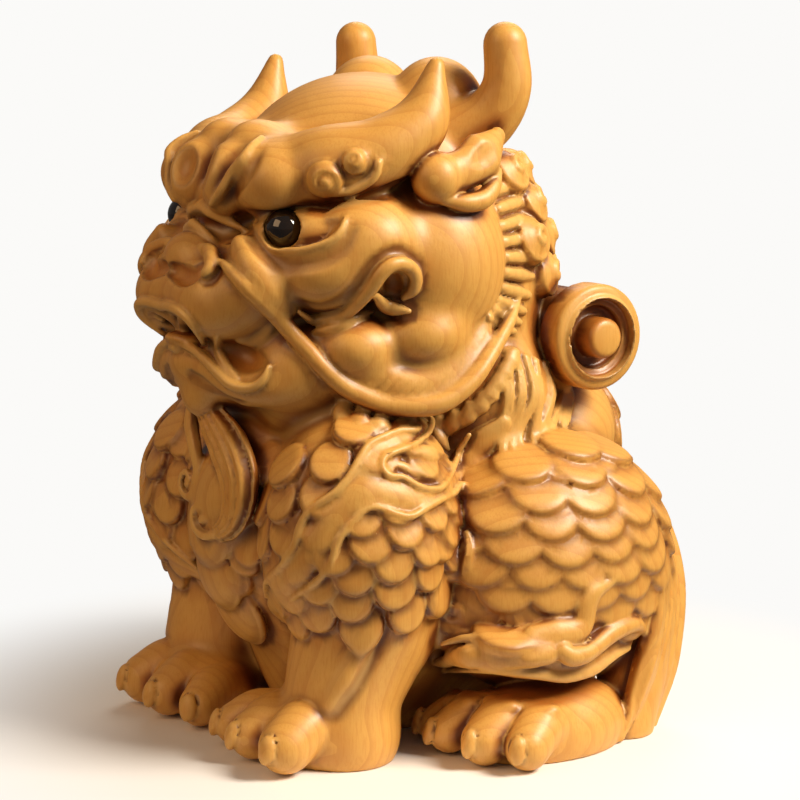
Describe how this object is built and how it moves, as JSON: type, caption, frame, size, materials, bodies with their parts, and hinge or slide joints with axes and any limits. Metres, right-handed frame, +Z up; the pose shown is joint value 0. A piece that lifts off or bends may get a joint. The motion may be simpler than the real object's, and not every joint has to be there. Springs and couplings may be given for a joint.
{
  "type": "carved wood qilin",
  "caption": "Seated qilin figure carved from one block of boxwood, with a rolled scroll on its back and inlaid black bead eyes; a small ornament that stands on its own base.",
  "frame": {"origin": "on the ground, under the middle of the figure's footprint", "axes": "+Z up, the beast looks along -Y, +X is its own left side"},
  "size_m": [0.0748, 0.0696, 0.092],
  "materials": {
    "boxwood": "hand-carved and polished boxwood, honey gold, satin with brighter polish in the hollows",
    "black_bead": "polished black bead, glossy"
  },
  "bodies": {
    "root": {"carved_qilin": "boxwood", "eye_left": "black_bead", "eye_right": "black_bead"}
  },
  "joints": []
}
